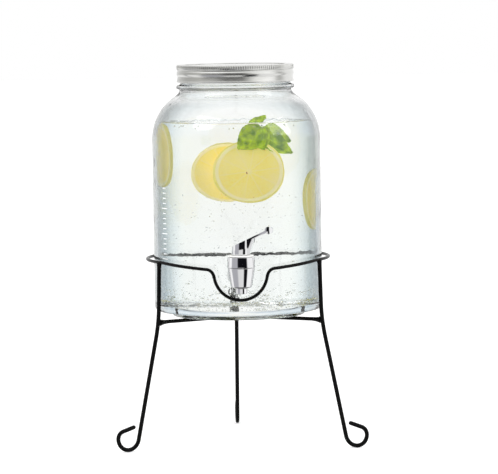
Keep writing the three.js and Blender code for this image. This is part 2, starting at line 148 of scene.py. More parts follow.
def rounded(corners, radius, steps=4):
    """The outline through corners of (r, z), with each inner corner replaced by a small bend."""
    points = [corners[0]]
    for before, here, after in zip(corners, corners[1:], corners[2:]):
        a = Vector(before) - Vector(here)
        b = Vector(after) - Vector(here)
        reach = min(radius, a.length * 0.45, b.length * 0.45)
        start = Vector(here) + a.normalized() * reach
        end = Vector(here) + b.normalized() * reach
        points += curve(start, here, end, steps)
    points.append(corners[-1])
    return points


def ring_profile(inner, outer, low, high, radius):
    """The closed section of a flat ring, with its four edges rounded."""
    mid = (inner + outer) / 2
    return rounded([
        (mid, low), (outer, low), (outer, high), (inner, high), (inner, low), (mid, low),
    ], radius)[:-1]


def lathe_bmesh(profile, segments, closed=False, radius_at=None):
    """Turns a profile of (r, z) round the Z axis. radius_at changes r by angle and place."""
    bm = bmesh.new()
    rings = []
    for index, (r, z) in enumerate(profile):
        if r < 1e-7:
            rings.append([bm.verts.new((0, 0, z))])
            continue
        ring = []
        for i in range(segments):
            a = 2 * math.pi * i / segments
            here = radius_at(index, i, r) if radius_at else r
            ring.append(bm.verts.new((here * math.cos(a), here * math.sin(a), z)))
        rings.append(ring)
    pairs = list(zip(rings, rings[1:]))
    if closed:
        pairs.append((rings[-1], rings[0]))
    for low, high in pairs:
        for i in range(segments):
            j = (i + 1) % segments
            if len(low) == 1 and len(high) == 1:
                continue
            if len(low) == 1:
                bm.faces.new((low[0], high[j], high[i]))
            elif len(high) == 1:
                bm.faces.new((low[i], low[j], high[0]))
            else:
                bm.faces.new((low[i], low[j], high[j], high[i]))
    return bm


def lathe(name, profile, material, segments=96, closed=False, centre=(0, 0), radius_at=None, angle=35):
    bm = lathe_bmesh(profile, segments, closed, radius_at)
    bmesh.ops.translate(bm, verts=bm.verts, vec=(centre[0], centre[1], 0))
    return new_object(name, mesh_from(name, bm), material, angle)


def tube(name, points, radius, material, reference, sides=20, closed=False, round_ends=True):
    """A round wire through points. reference(point) is a direction square-ish to the wire there."""
    bm = bmesh.new()
    count = len(points)
    rings = []

    def ring_at(centre, side, up, size):
        ring = []
        for i in range(sides):
            a = 2 * math.pi * i / sides
            ring.append(bm.verts.new(centre + side * (size * math.cos(a)) + up * (size * math.sin(a))))
        return ring

    def frame_at(index):
        before = points[(index - 1) % count] if closed or index else points[index]
        after = points[(index + 1) % count] if closed or index < count - 1 else points[index]
        along = (after - before).normalized()
        side = reference(points[index])
        side = (side - along * side.dot(along)).normalized()
        return along, side, along.cross(side)

    cap_steps = 4 if round_ends and not closed else 0
    first_along, first_side, first_up = frame_at(0)
    for i in range(cap_steps):
        a = math.pi / 2 * (i + 0.5) / cap_steps
        centre = points[0] - first_along * (radius * math.cos(a))
        rings.append(ring_at(centre, first_side, first_up, radius * math.sin(a)))
    for index in range(count):
        along, side, up = frame_at(index)
        rings.append(ring_at(points[index], side, up, radius))
    last_along, last_side, last_up = frame_at(count - 1)
    for i in reversed(range(cap_steps)):
        a = math.pi / 2 * (i + 0.5) / cap_steps
        centre = points[-1] + last_along * (radius * math.cos(a))
        rings.append(ring_at(centre, last_side, last_up, radius * math.sin(a)))
    pairs = list(zip(rings, rings[1:]))
    if closed:
        pairs.append((rings[-1], rings[0]))
    for low, high in pairs:
        for i in range(sides):
            j = (i + 1) % sides
            bm.faces.new((low[i], low[j], high[j], high[i]))
    if not closed:
        bm.faces.new(list(reversed(rings[0])))
        bm.faces.new(rings[-1])
    return new_object(name, mesh_from(name, bm), material)


def apply_modifiers(obj):
    depsgraph = bpy.context.evaluated_depsgraph_get()
    mesh = bpy.data.meshes.new_from_object(obj.evaluated_get(depsgraph))
    obj.modifiers.clear()
    obj.data = mesh
    return obj


def boolean(obj, tool, operation):
    modifier = obj.modifiers.new(operation, "BOOLEAN")
    modifier.operation = operation
    modifier.solver = "EXACT"
    modifier.object = tool
    apply_modifiers(obj)
    bpy.data.objects.remove(tool)
    return obj


# ---- Material helpers ----

def new_material(name):
    material = bpy.data.materials.new(name)
    material.use_nodes = True
    nodes = material.node_tree.nodes
    nodes.clear()
    output = nodes.new("ShaderNodeOutputMaterial")
    shader = nodes.new("ShaderNodeBsdfPrincipled")
    material.node_tree.links.new(shader.outputs[0], output.inputs["Surface"])
    return material, shader


class Graph:
    """Short calls for a material's nodes."""

    def __init__(self, material):
        self.tree = material.node_tree

    def node(self, kind, **settings):
        made = self.tree.nodes.new("ShaderNode" + kind)
        for key, value in settings.items():
            setattr(made, key, value)
        return made

    def link(self, source, target):
        self.tree.links.new(source, target)

    def feed(self, target, value):
        if isinstance(value, bpy.types.NodeSocket):
            self.link(value, target)
        else:
            target.default_value = value

    def math(self, operation, a, b=0.0):
        made = self.node("Math", operation=operation)
        self.feed(made.inputs[0], a)
        self.feed(made.inputs[1], b)
        return made.outputs[0]

    def coordinates(self):
        return self.node("TexCoord").outputs["Object"]

    def split(self, vector):
        made = self.node("SeparateXYZ")
        self.link(vector, made.inputs[0])
        return made.outputs

    def scaled(self, vector, scale):
        made = self.node("Mapping")
        self.link(vector, made.inputs["Vector"])
        made.inputs["Scale"].default_value = scale
        return made.outputs[0]

    def noise(self, vector, scale, detail=3.0, roughness=0.5):
        made = self.node("TexNoise")
        self.link(vector, made.inputs["Vector"])
        made.inputs["Scale"].default_value = scale
        made.inputs["Detail"].default_value = detail
        made.inputs["Roughness"].default_value = roughness
        return made.outputs[0]

    def spread(self, value, low, high, to_low, to_high, smooth=False):
        made = self.node("MapRange")
        made.interpolation_type = "SMOOTHSTEP" if smooth else "LINEAR"
        self.link(value, made.inputs["Value"])
        made.inputs["From Min"].default_value = low
        made.inputs["From Max"].default_value = high
        made.inputs["To Min"].default_value = to_low
        made.inputs["To Max"].default_value = to_high
        return made.outputs[0]

    def mix(self, factor, a, b):
        made = self.node("Mix", data_type="RGBA")
        self.feed(made.inputs[0], factor)
        self.feed(made.inputs[6], a)
        self.feed(made.inputs[7], b)
        return made.outputs[2]

    def bump(self, height, distance, strength=1.0):
        made = self.node("Bump")
        self.link(height, made.inputs["Height"])
        made.inputs["Distance"].default_value = distance
        made.inputs["Strength"].default_value = strength
        return made.outputs[0]


def fill_ramp(ramp, stops):
    """Sets a colour ramp's stops of (place, colour)."""
    elements = ramp.color_ramp.elements
    while len(elements) < len(stops):
        elements.new(0.5)
    for element, (place, colour) in zip(elements, stops):
        element.position = place
        element.color = (*colour, 1)


def glass_material():
    """Clear pressed glass with a slightly wavy surface. Where the wall is looked along, its colour is
    darkened to grey-green: painted shade, faded out above the neck.
    """
    material, shader = new_material("glass")
    graph = Graph(material)
    # Painted shade: the glass's colour darkens with the slant of the wall, standing in for the darker
    # surroundings seen through its edges.
    slant = graph.node("LayerWeight").outputs["Facing"]
    edge_shade = graph.node("ValToRGB")
    graph.link(slant, edge_shade.inputs[0])
    fill_ramp(edge_shade, (
        (0.0, (1.0, 1.0, 1.0)),
        (0.22, (0.99, 1.0, 0.99)),
        (0.36, (0.88, 0.92, 0.93)),
        (0.5, (0.66, 0.71, 0.73)),
        (0.66, (0.40, 0.43, 0.45)),
        (0.78, (0.28, 0.30, 0.31)),
        (0.9, (0.42, 0.44, 0.44)),
        (1.0, (0.7, 0.7, 0.7)),
    ))
    z = graph.split(graph.coordinates())[2]
    # The painted shade fades back to white above the neck.
    edge_shade_fade = graph.spread(z, STRAIGHT_TOP + 32 * MM, STRAIGHT_TOP + 44 * MM, 0.0, 0.9, smooth=True)
    graph.link(graph.mix(edge_shade_fade, edge_shade.outputs[0], (1, 1, 1, 1)), shader.inputs["Base Color"])
    depth = graph.node("VolumeAbsorption")
    depth.inputs["Color"].default_value = (0.55, 0.60, 0.58, 1)
    depth.inputs["Density"].default_value = 6
    graph.link(depth.outputs[0], material.node_tree.nodes["Material Output"].inputs["Volume"])
    shader.inputs["Transmission Weight"].default_value = 1
    shader.inputs["IOR"].default_value = 1.5
    shader.inputs["Roughness"].default_value = 0
    wave = graph.noise(graph.coordinates(), 60.0, 2.0)
    graph.link(graph.bump(wave, 0.00025), shader.inputs["Normal"])
    return material


def water_material():
    """A clear drink, faintly green and not quite even."""
    material, shader = new_material("drink")
    graph = Graph(material)
    depth = graph.node("VolumeAbsorption")
    depth.inputs["Color"].default_value = (0.80, 0.90, 0.82, 1)
    depth.inputs["Density"].default_value = 0.25
    graph.link(depth.outputs[0], material.node_tree.nodes["Material Output"].inputs["Volume"])
    cloud = graph.noise(graph.coordinates(), 18.0, 2.0)
    graph.link(graph.mix(cloud, (0.98, 0.99, 0.98, 1), (1, 1, 1, 1)), shader.inputs["Base Color"])
    shader.inputs["Transmission Weight"].default_value = 1
    shader.inputs["IOR"].default_value = 1.33
    shader.inputs["Roughness"].default_value = 0
    return material


def bubble_material():
    """Gas in the drink: it bends light the other way from a drop."""
    material, shader = new_material("bubble")
    graph = Graph(material)
    cloud = graph.noise(graph.coordinates(), 90.0, 1.0)
    graph.link(graph.mix(cloud, (0.72, 0.75, 0.75, 1), (0.88, 0.91, 0.91, 1)), shader.inputs["Base Color"])
    shader.inputs["Transmission Weight"].default_value = 1
    shader.inputs["IOR"].default_value = 1 / 1.33
    shader.inputs["Roughness"].default_value = 0
    return material


def steel_material():
    """Satin lid metal, brushed round its axis."""
    material, shader = new_material("steel")
    graph = Graph(material)
    shader.inputs["Metallic"].default_value = 1
    fine = graph.noise(graph.scaled(graph.coordinates(), (1, 1, 30)), 120.0, 4.0, 0.6)
    graph.link(graph.mix(fine, (0.66, 0.66, 0.64, 1), (0.80, 0.80, 0.78, 1)), shader.inputs["Base Color"])
    graph.link(graph.spread(fine, 0.3, 0.7, 0.16, 0.26), shader.inputs["Roughness"])
    graph.link(graph.bump(fine, 0.00002), shader.inputs["Normal"])
    return material


def mottled(name, scale, detail, dark, light, smooth, rough):
    """A material whose colour and roughness drift a little over the surface."""
    material, shader = new_material(name)
    graph = Graph(material)
    cloud = graph.noise(graph.coordinates(), scale, detail)
    graph.link(graph.mix(cloud, (*dark, 1), (*light, 1)), shader.inputs["Base Color"])
    graph.link(graph.spread(cloud, 0.3, 0.7, smooth, rough), shader.inputs["Roughness"])
    return material, shader, graph, cloud


def chrome_material():
    """Polished chrome plate, with the faint ripple of a plated casting."""
    material, shader, graph = mottled(
        "chrome", 220.0, 3.0, (0.85, 0.85, 0.86), (0.92, 0.92, 0.93), 0.03, 0.09,
    )[:3]
    shader.inputs["Metallic"].default_value = 1
    ripple = graph.noise(graph.coordinates(), 90.0, 1.0)
    graph.link(graph.bump(ripple, 0.00003), shader.inputs["Normal"])
    return material


def wire_material():
    """Gloss black coating on steel wire, with a slight orange peel."""
    material, shader, graph, peel = mottled(
        "wire", 900.0, 2.0, (0.002, 0.002, 0.002), (0.004, 0.004, 0.004), 0.16, 0.28,
    )
    shader.inputs["Specular IOR Level"].default_value = 0.1
    graph.link(graph.bump(peel, 0.00003), shader.inputs["Normal"])
    return material


def silicone_material():
    """Milky silicone for the gaskets and the seat plug."""
    material, shader = mottled(
        "silicone", 300.0, 3.0, (0.78, 0.78, 0.76), (0.88, 0.88, 0.86), 0.4, 0.6,
    )[:2]
    shader.inputs["Subsurface Weight"].default_value = 0.3
    shader.inputs["Subsurface Radius"].default_value = (0.002, 0.002, 0.002)
    return material


def nylon_material():
    """Smooth white nylon."""
    return mottled("nylon", 400.0, 3.0, (0.84, 0.84, 0.82), (0.92, 0.92, 0.90), 0.3, 0.42)[0]


def marks_material():
    """Frosted white glass for the moulded level marks."""
    return mottled("level_marks", 500.0, 2.0, (0.80, 0.83, 0.84), (0.95, 0.97, 0.97), 0.3, 0.3)[0]


def lemon_material(radius):
    """A cut lemon slice about its own Z axis: rind, pith, and juicy segments."""
    segments = 10
    material, shader = new_material("lemon")
    graph = Graph(material)
    place = graph.coordinates()
    x, y = graph.split(place)[:2]
    squares = graph.math("ADD", graph.math("MULTIPLY", x, x), graph.math("MULTIPLY", y, y))
    distance = graph.math("SQRT", squares)
    share = graph.math("DIVIDE", distance, radius)
    angle = graph.math("ARCTAN2", y, x)
    turn = graph.math("MULTIPLY", angle, segments / (2 * math.pi))
    between = graph.math("ABSOLUTE", graph.math("SUBTRACT", graph.math("FRACT", turn), 0.5))
    membrane = graph.math("MULTIPLY", graph.math("SUBTRACT", 0.5, between), share)
    sac = graph.noise(graph.scaled(place, (1, 1, 0.3)), 420.0, 2.0)
    flesh = graph.mix(sac, (0.86, 0.70, 0.12, 1), (0.95, 0.81, 0.24, 1))
    wall = graph.spread(membrane, 0.012, 0.05, 1.0, 0.0, smooth=True)
    flesh = graph.mix(graph.math("MULTIPLY", wall, 0.3), flesh, (0.92, 0.83, 0.42, 1))
    core = graph.spread(share, 0.05, 0.12, 1.0, 0.0, smooth=True)
    flesh = graph.mix(graph.math("MULTIPLY", core, 0.4), flesh, (0.92, 0.83, 0.42, 1))
    pith = graph.spread(share, 0.83, 0.87, 0.0, 1.0, smooth=True)
    colour = graph.mix(pith, flesh, (0.93, 0.85, 0.45, 1))
    rind = graph.spread(share, 0.93, 0.955, 0.0, 1.0, smooth=True)
    colour = graph.mix(rind, colour, (0.82, 0.74, 0.16, 1))
    off_x = graph.math("DIVIDE", graph.math("SUBTRACT", x, 0.0022), 0.0006)
    off_y = graph.math("DIVIDE", graph.math("SUBTRACT", y, 0.0010), 0.0013)
    off = graph.math("ADD", graph.math("MULTIPLY", off_x, off_x), graph.math("MULTIPLY", off_y, off_y))
    colour = graph.mix(graph.spread(off, 0.7, 1.3, 0.9, 0.0), colour, (0.16, 0.10, 0.02, 1))
    blush = graph.noise(place, 38.0, 2.0)
    colour = graph.mix(graph.spread(blush, 0.45, 0.75, 0.0, 0.5), colour, (0.90, 0.80, 0.40, 1))
    graph.link(colour, shader.inputs["Base Color"])
    # Painted light: the slice glows with its own colour, standing in for light that the glass and drink hold
    # back.
    graph.link(colour, shader.inputs["Emission Color"])
    shader.inputs["Emission Strength"].default_value = 0.38
    shader.inputs["Roughness"].default_value = 0.35
    shader.inputs["Subsurface Weight"].default_value = 0.35
    shader.inputs["Subsurface Radius"].default_value = (0.004, 0.003, 0.001)
    graph.link(graph.bump(sac, 0.0003), shader.inputs["Normal"])
    return material


def mint_material():
    """A fresh leaf, mottled light and dark green."""
    material, shader = new_material("mint")
    graph = Graph(material)
    place = graph.coordinates()
    cloud = graph.noise(place, 160.0, 4.0)
    blade = graph.mix(graph.spread(cloud, 0.35, 0.65, 0.0, 1.0), (0.12, 0.25, 0.0, 1), (0.52, 0.70, 0.0, 1))
    graph.link(blade, shader.inputs["Base Color"])
    # Painted light: the leaf glows with its own colour, standing in for light that the glass and drink hold
    # back.
    graph.link(blade, shader.inputs["Emission Color"])
    shader.inputs["Roughness"].default_value = 0.45
    shader.inputs["Emission Strength"].default_value = 0.3
    graph.link(graph.bump(cloud, 0.0012), shader.inputs["Normal"])
    return material


GLASS = glass_material()
WATER = water_material()
BUBBLE = bubble_material()
STEEL = steel_material()
CHROME = chrome_material()
WIRE = wire_material()
SILICONE = silicone_material()
NYLON = nylon_material()
MARKS = marks_material()


def piece(obj, body, slot, *nodes):
    """Rides the piece on its body, in place of the CAD nodes it stands for, which it hides. The slot, its
    finish, is not used.
    """
    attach(obj, body)
    if nodes:
        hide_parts(*nodes)
    return obj


# ---- Jar ----

def shoulder_angle(radius, reach):
    return math.degrees(math.acos((reach - (JAR_R - SHOULDER_R)) / radius))


def jar_profile():
    """The jar's section, from the middle of its base up the outside and down the inside."""
    foot_r = 66 * MM
    step_z = BASE_Z + 5 * MM
    heel = 5 * MM
    centre = JAR_R - SHOULDER_R
    inner = SHOULDER_R - WALL
    mouth = NECK_R - WALL
    finish = 55 * MM
    neck_z = STRAIGHT_TOP + SHOULDER_R * math.sin(math.radians(shoulder_angle(SHOULDER_R, NECK_R)))
    shoulder_end = shoulder_angle(SHOULDER_R, NECK_R + 8 * MM)
    collar_z = neck_z + 4 * MM
    inner_heel = 8 * MM
    floor_z = BASE_Z + JAR_FLOOR
    section = rounded([
        (0, BASE_Z + 2.2 * MM),
        (foot_r - 9 * MM, BASE_Z + 1.6 * MM),
        (foot_r - 4 * MM, BASE_Z),
        (foot_r, BASE_Z),
        (foot_r + 2 * MM, step_z),
        (JAR_R - heel, step_z),
    ], 1.5 * MM)
    section += arc(JAR_R - heel, step_z + heel, heel, -90, 0, 10)[1:]
    section += arc(centre, STRAIGHT_TOP, SHOULDER_R, 0, shoulder_end, 28)
    section += curve(section[-1], (NECK_R, neck_z), (NECK_R, collar_z - 0.6 * MM), 12)[1:]
    section += rounded([
        section[-1],
        (NECK_R, collar_z),
        (COLLAR_R, collar_z + 0.6 * MM),
        (COLLAR_R, collar_z + 4.4 * MM),
        (finish, collar_z + 5 * MM),
        (finish, LIP_Z),
        (mouth, LIP_Z),
        (mouth, LIP_Z - 10 * MM),
    ], 2.2 * MM, 6)[1:]
    inner_end = shoulder_angle(inner, mouth + 9 * MM)
    inner_arc = arc(centre, STRAIGHT_TOP, inner, inner_end, 0, 28)
    corner = (mouth, STRAIGHT_TOP + inner * math.sin(math.radians(shoulder_angle(inner, mouth))))
    section += curve((mouth, LIP_Z - 14 * MM), corner, inner_arc[0], 14)
    section += inner_arc[1:]
    section += arc(JAR_R - WALL - inner_heel, floor_z + inner_heel, inner_heel, 0, -90, 12)
    section.append((0, floor_z + 0.4 * MM))
    return section


def shank_height():
    low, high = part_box("shank_nut")
    return (low.z + high.z) / 2


def make_jar():
    """The glass jar, with a hole drilled in its wall for the spigot's shank."""
    jar = lathe("jar_glass", jar_profile(), GLASS, 128, centre=(0, AXIS_Y))
    hole = SHANK_R + SHANK_CLEAR
    in_wall = Matrix.Translation((0, AXIS_Y - JAR_R + WALL / 2, shank_height()))
    drill = bmesh.new()
    bmesh.ops.create_cone(
        drill, segments=64, radius1=hole, radius2=hole, depth=20 * MM, cap_ends=True,
        matrix=in_wall @ Matrix.Rotation(math.pi / 2, 4, "X"),
    )
    tool = bpy.data.objects.new("drill", mesh_from("drill", drill))
    bpy.context.scene.collection.objects.link(tool)
    boolean(jar, tool, "DIFFERENCE")
    shade_smooth(jar.data, 35)
    return piece(jar, "jar_body", "glass", "jar")


def make_scale():
    """Raised level marks on the left of the jar, as short and long bars moulded in the glass."""
    bm = bmesh.new()
    lift = 0.35 * MM
    for i in range(15):
        z = FIRST_MARK_Z + MARK_STEP * i
        half = (4.6 if i % 5 == 0 else 2.6) * MM / JAR_R
        start = math.radians(MARKS_BEARING) - half
        steps = 6
        rows = []
        for j in range(steps + 1):
            angle = math.degrees(start + 2 * half * j / steps)
            low, high = z - 0.45 * MM, z + 0.45 * MM
            places = (
                (JAR_R - lift, low), (JAR_R + lift * 0.7, low), (JAR_R + lift, z),
                (JAR_R + lift * 0.7, high), (JAR_R - lift, high),
            )
            rows.append([bm.verts.new(axis_point(r, angle, height)) for r, height in places])
        for one, two in zip(rows, rows[1:]):
            for j in range(5):
                k = (j + 1) % 5
                bm.faces.new((one[j], one[k], two[k], two[j]))
        bm.faces.new(list(reversed(rows[0])))
        bm.faces.new(rows[-1])
    marks = new_object("level_marks", mesh_from("level_marks", bm), MARKS, 30)
    return piece(marks, "jar_body", "glass")


def make_water():
    """The drink fills the jar to a level line, just clear of the glass, with a small meniscus."""
    gap = 0.25 * MM
    inner_r = JAR_R - WALL - gap
    heel = 8 * MM
    floor_z = BASE_Z + JAR_FLOOR + gap
    centre = JAR_R - SHOULDER_R
    inner = SHOULDER_R - WALL - gap
    top_angle = math.degrees(math.asin((WATER_Z + 1.4 * MM - STRAIGHT_TOP) / inner))
    profile = [(0, floor_z + 0.4 * MM)]
    profile += arc(inner_r - heel, floor_z + heel, heel, -90, 0, 12)
    profile += arc(centre, STRAIGHT_TOP, inner, 0, top_angle, 10)
    edge = profile[-1][0]
    profile += [
        (edge - 0.6 * MM, WATER_Z + 0.7 * MM),
        (edge - 1.6 * MM, WATER_Z + 0.2 * MM),
        (edge - 3.5 * MM, WATER_Z),
        (0, WATER_Z),
    ]
    water = lathe("drink", profile, WATER, 128, centre=(0, AXIS_Y))
    return piece(water, "jar_body", "glass")


# ---- Lid ----

def make_band():
    """The screw band: two rolled beads under a fluted top edge, and a turned-in flange."""
    outer = (band_high.x - band_low.x) / 2 - 0.5 * MM
    inner = outer - 1 * MM
    low, high = band_low.z, band_high.z
    groove = outer - 0.9 * MM
    knurl_low = high - 5.4 * MM
    bead_top = knurl_low - 0.5 * MM
    bead_low = bead_top - 5.8 * MM
    flange_z = high - 0.9 * MM
    bulge = outer - 0.1 * MM
    profile = [(inner, low), (bulge, low)]
    profile += arc(outer - 0.35 * MM, low + 0.9 * MM, 0.85 * MM, -75, 60, 8)
    profile += [(groove, bead_low - 0.35 * MM), (groove, bead_low + 0.1 * MM)]
    for i in range(9):
        t = i / 8
        swell = 0.85 * MM * math.sin(math.pi * t) ** 0.7
        profile.append((groove + swell, bead_low + 0.2 * MM + (bead_top - bead_low - 0.4 * MM) * t))
    profile += [(groove, bead_top), (groove, knurl_low + 0.1 * MM)]
    knurl_first = len(profile)
    profile += [(outer - 0.25 * MM, knurl_low + 0.5 * MM), (outer, knurl_low + 0.9 * MM)]
    profile += [(outer, high - 1.3 * MM), (outer - 0.2 * MM, high - 0.8 * MM)]
    knurl_last = len(profile) - 1
    profile += arc(outer - 1.1 * MM, high - 0.8 * MM, 0.8 * MM, 10, 90, 6)
    profile += [(inner - 7.5 * MM, high), (inner - 7.5 * MM, flange_z), (inner, flange_z)]
    flutes = 156
    per_flute = 4

    def fluted(index, step, radius):
        if knurl_first <= index <= knurl_last and step % per_flute >= per_flute // 2:
            return radius - 0.38 * MM
        return radius

    band = lathe(
        "lid_band_knurled", profile, STEEL, flutes * per_flute, closed=True,
        centre=(0, AXIS_Y), radius_at=fluted, angle=30,
    )
    return piece(band, "screw_band", "steel", "lid_band")


def make_disc():
    """The lid's thin disc, with its panel pressed up a little."""
    low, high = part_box("lid_disc")
    edge = (high.x - low.x) / 2
    thick = 0.55 * MM
    panel = 46 * MM
    top = [
        (0, high.z), (panel - 2 * MM, high.z), (panel, low.z + thick), (edge, low.z + thick),
    ]
    bottom = [(edge, low.z), (panel, low.z), (panel - 2 * MM, high.z - thick), (0, high.z - thick)]
    profile = rounded(list(reversed(bottom)), 0.8 * MM) + rounded(list(reversed(top)), 0.8 * MM)
    disc = lathe("lid_disc_pressed", profile, STEEL, 128, centre=(0, AXIS_Y))
    return piece(disc, "lid", "steel", "lid_disc")


def make_ring_piece(name, node, inner, material, body, slot):
    """A plain gasket or washer lying flat about the jar's or the spigot's vertical axis."""
    low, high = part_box(node)
    centre = ((low.x + high.x) / 2, (low.y + high.y) / 2)
    profile = ring_profile(inner, (high.x - low.x) / 2, low.z, high.z, 0.25 * MM)
    made = lathe(name, profile, material, 96, closed=True, centre=centre)
    return piece(made, body, slot, node)


# ---- Stand ----

RING_R = (ring_high.x - ring_low.x) / 2 - RING_WIRE
RING_Z = ring_high.z - RING_WIRE
DIP_HALF = 26.5 * MM
DIP_FILLET = 8 * MM
RING_SAG = 4.5 * MM
DIP_Z = ring_low.z + RING_WIRE
SPOKE_Z = (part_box("spoke_back")[0].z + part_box("spoke_back")[1].z) / 2
UP = Vector((0, 0, 1))


def radial(point):
    return Vector((point.x, point.y - AXIS_Y, 0)).normalized()


def make_ring():
    """One closed wire ring, sloping down from the front legs to a bowl under the spigot."""
    shoulder = DIP_HALF + DIP_FILLET
    half_turn = math.pi * RING_R
    slope_start = RING_R * math.radians(FRONT_LEG) - 2 * LEG_R
    flat = []
    steps = 90
    for i in range(steps):
        place = half_turn - (half_turn - shoulder) * i / steps
        sag = RING_SAG * max(0, slope_start - place) / (slope_start - shoulder)
        flat.append((-place, RING_Z - sag))
    flat += arc(-shoulder, RING_Z - RING_SAG - DIP_FILLET, DIP_FILLET, 86, 0, 12)
    flat += arc(0, DIP_Z + DIP_HALF, DIP_HALF, 180, 270, 24)[1:]
    mirrored = [(-s, z) for s, z in reversed(flat[1:-1])]
    points = [axis_point(RING_R, math.degrees(s / RING_R), z) for s, z in flat + mirrored]
    ring = tube("ring_wire", points, RING_WIRE, WIRE, radial, 20, closed=True)
    return piece(ring, "stand", "wire", "stand_ring")


def leg_line():
    """A leg's points of (r, z), down from the ring to the end of the foot's curl."""
    foot_r, curl, curl_z = 129.5 * MM, 11.6 * MM, 13.58 * MM
    top_curl, tail = 7.4 * MM, 12.5 * MM
    flare = 12.85
    bend = (92.9 * MM, SPOKE_Z)
    entry = arc(foot_r, curl_z, curl, 180 + flare, 360, 40)
    top_centre = foot_r + curl - top_curl
    over = arc(top_centre, curl_z, top_curl, 0, 75, 14)[1:]
    end_angle = math.radians(165)
    end = (over[-1][0] + tail * math.cos(end_angle), over[-1][1] + tail * math.sin(end_angle))
    corners = [(91.4 * MM, RING_Z - 1.2 * MM), bend, entry[0]]
    return rounded(corners, 16 * MM, 12)[:-1] + entry + over + [end]


def make_leg(side, angle):
    points = [axis_point(r, angle, z) for r, z in leg_line()]
    across = Vector((math.cos(math.radians(angle)), math.sin(math.radians(angle)), 0))
    leg = tube(f"leg_{side}_wire", points, LEG_R, WIRE, lambda point: across, 20)
    return piece(leg, "stand", "wire", f"leg_{side}")


def make_spoke(side, angle):
    inner, outer = 3 * MM, 91.5 * MM
    steps = 12
    points = [axis_point(inner + (outer - inner) * i / steps, angle, SPOKE_Z) for i in range(steps + 1)]
    spoke = tube(f"spoke_{side}_wire", points, SPOKE_R, WIRE, lambda point: UP, 20)
    return piece(spoke, "stand", "wire", f"spoke_{side}")


def make_weld(name, start, end, wide, narrow):
    """A weld's fillet: a bead that is wide at one wire and sinks smoothly into the other."""
    along = end - start
    rings = 9
    profile = [(0, 0)]
    for i in range(rings):
        t = i / (rings - 1)
        profile.append((narrow + (wide - narrow) * (1 - t) ** 2.4, along.length * t))
    profile.append((0, along.length))
    bm = lathe_bmesh(profile, 24)
    turn = along.to_track_quat("Z", "Y").to_matrix().to_4x4()
    bmesh.ops.transform(bm, matrix=Matrix.Translation(start) @ turn, verts=bm.verts)
    weld = new_object(name, mesh_from(name, bm), WIRE, 60)
    return piece(weld, "stand", "wire")


def make_stand():
    """The ring, three legs with a spoke and two welds each, and the weld where the spokes meet."""
    make_ring()
    for side, angle in (("left", -FRONT_LEG), ("right", FRONT_LEG), ("back", 180)):
        make_leg(side, angle)
        make_spoke(side, angle)
        make_weld(
            f"weld_{side}_spoke", axis_point(91.4 * MM, angle, SPOKE_Z - 0.4 * MM),
            axis_point(82 * MM, angle, SPOKE_Z), 3.4 * MM, 1.95 * MM,
        )
        make_weld(
            f"weld_{side}_ring", axis_point(91.2 * MM, angle, RING_Z - 0.4 * MM),
            axis_point(91.5 * MM, angle, RING_Z - 7 * MM), 2.7 * MM, 2.12 * MM,
        )
    low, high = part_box("spoke_hub")
    r = (high.x - low.x) / 2
    profile = rounded([(0, low.z), (r, low.z), (r, high.z), (0, high.z)], 1.6 * MM, 6)
    hub = lathe("spoke_hub_weld", profile, WIRE, 48, centre=(0, AXIS_Y))
    piece(hub, "stand", "wire", "spoke_hub")


# ---- Spigot ----

def flat_disc(name, profile, material, body, slot, centre_z, *nodes):
    """Turns a profile of (r, y) about the spigot's shank, which runs along Y."""
    bm = lathe_bmesh(profile, 72, closed=True)
    turn = Matrix.Rotation(-math.pi / 2, 4, "X")
    bmesh.ops.transform(bm, matrix=Matrix.Translation((0, 0, centre_z)) @ turn, verts=bm.verts)
    made = new_object(name, mesh_from(name, bm), material, 35)
    return piece(made, body, slot, *nodes)


def make_washer(name, node):
    """A soft washer round the shank, on one side of the jar's wall."""
    low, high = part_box(node)
    profile = ring_profile(SHANK_R + SHANK_CLEAR, (high.x - low.x) / 2, low.y, high.y, 0.5 * MM)
    flat_disc(name, profile, SILICONE, "jar_body", "silicone", shank_height(), node)


def make_spigot_body():
    """The spigot's cup and nozzle, and the flanged shank that goes through the jar's wall."""
    low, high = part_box("spigot_body")
    top_z = bonnet_low.z + BONNET_SEAT - 0.3 * MM
    seat_z = low.z + 8.4 * MM
    nozzle, bore, chamber = 5.6 * MM, 4 * MM, 8.2 * MM
    outside = rounded([
        (bore, low.z), (nozzle, low.z), (nozzle, low.z + 5.4 * MM), (9.4 * MM, low.z + 6 * MM),
        (10.4 * MM, low.z + 7.2 * MM), (13.4 * MM, top_z), (chamber, top_z),
        (chamber, seat_z), (bore, seat_z - 1 * MM), (bore, low.z),
    ], 0.7 * MM, 5)
    cup = lathe("spigot_cup", outside[:-1], CHROME, 96, closed=True, centre=(0, SPIGOT_Y))
    shank_z = shank_height()
    flange_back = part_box("outer_washer")[0].y - 0.3 * MM
    end_y = high.y
    profile = rounded([
        (SHANK_BORE, SPIGOT_Y + 7 * MM), (SHANK_R, SPIGOT_Y + 7 * MM), (SHANK_R, flange_back - 3.2 * MM),
        (FLANGE_R, flange_back - 2 * MM), (FLANGE_R, flange_back), (SHANK_R, flange_back),
        (SHANK_R, end_y), (SHANK_BORE, end_y), (SHANK_BORE, SPIGOT_Y + 7 * MM),
    ], 0.5 * MM)
    flat_disc("spigot_shank", profile[:-1], CHROME, "jar_body", "chrome", shank_z)
    return piece(cup, "jar_body", "chrome", "spigot_body")


